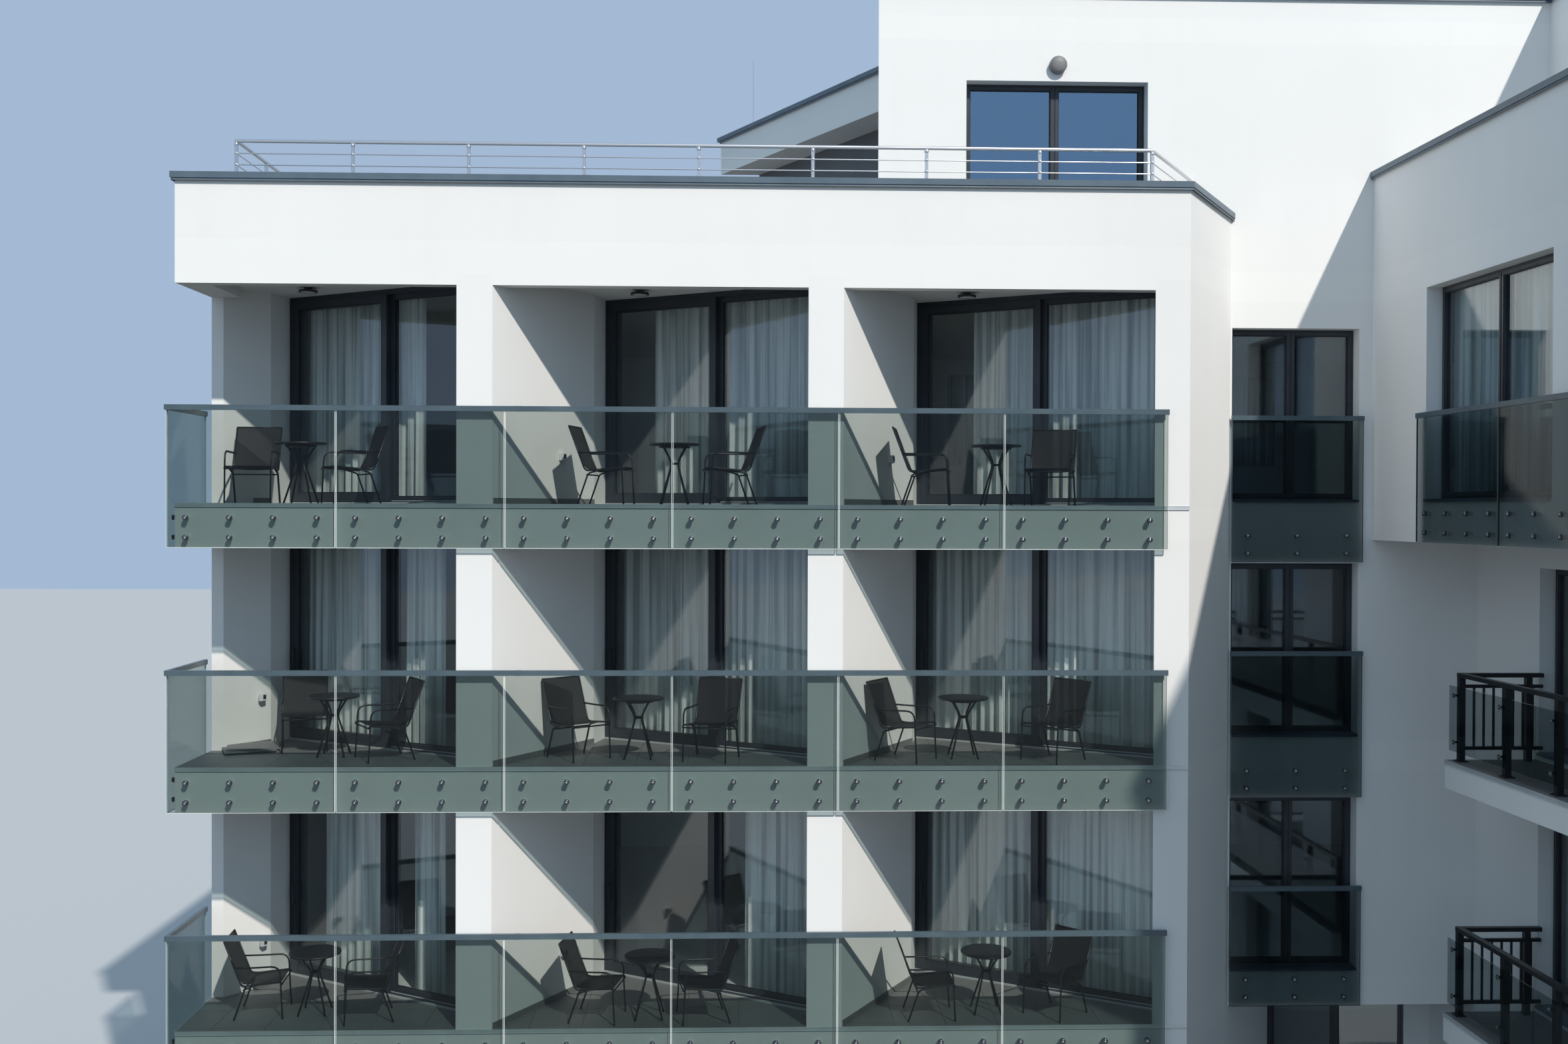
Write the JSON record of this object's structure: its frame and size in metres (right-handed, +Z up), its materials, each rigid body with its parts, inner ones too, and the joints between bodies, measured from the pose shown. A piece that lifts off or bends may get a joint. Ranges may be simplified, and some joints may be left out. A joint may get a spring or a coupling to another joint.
{
  "type": "apartment block",
  "caption": "Apartment block with saw-tooth loggias behind oblique sliding doors, point-fixed glass guards, a set-back roof storey with a terrace, and a side wing with balconies.",
  "frame": {"origin": "at ground level on the underside of the ground floor slab, in the middle of the front wing's plan", "axes": "+Z up, the front with the loggias faces -Y, the side wing is at +X"},
  "size_m": [21.613, 17.41, 16.87],
  "materials": {
    "render": "fine white render",
    "slab": "white painted concrete",
    "grey_render": "dark grey render",
    "coping_metal": "satin blue-grey paint",
    "frame_metal": "satin anthracite paint",
    "window_glass": "clear, lightly tinted",
    "guard_glass": "smoke-tinted",
    "fixing_steel": "satin",
    "black_metal": "satin black paint",
    "lamp_housing": "matt dark grey"
  },
  "bodies": {
    "root": {"west_wall": "render", "party_walls": "render", "corner_walls": "render", "inner_walls": "render", "entrance_walls": "render", "wing_walls": "render", "wing_end_walls": "render", "east_walls": "render", "rear_walls": "render", "tower_front_wall": "render", "tower_side_wall": "render", "parapets": "render", "ground_floor": "slab", "front_floor_1": "slab", "front_floor_2": "slab", "front_floor_3": "slab", "terrace_deck": "slab", "link_floors": "slab", "wing_floors": "slab", "tower_roof": "slab", "wing_roof": "slab", "wing_balconies": "slab", "grey_wall": "grey_render", "copings": "coping_metal", "balcony_handrails": "coping_metal", "window_guard_rails": "coping_metal", "sliding_doors": "frame_metal", "window_frames": "frame_metal", "entrance_screen": "frame_metal", "sliding_door_glass": "window_glass", "window_glass": "window_glass", "entrance_glass": "window_glass", "balcony_glass": "guard_glass", "window_guard_glass": "guard_glass", "wing_balcony_glass": "guard_glass", "balcony_fixings": "fixing_steel", "window_guard_fixings": "fixing_steel", "terrace_railing": "fixing_steel", "lightning_rod": "fixing_steel", "wing_railings": "black_metal", "balcony_chairs": "black_metal", "balcony_tables": "black_metal", "ceiling_lamps": "lamp_housing", "wall_lamp": "lamp_housing"}
  },
  "joints": []
}
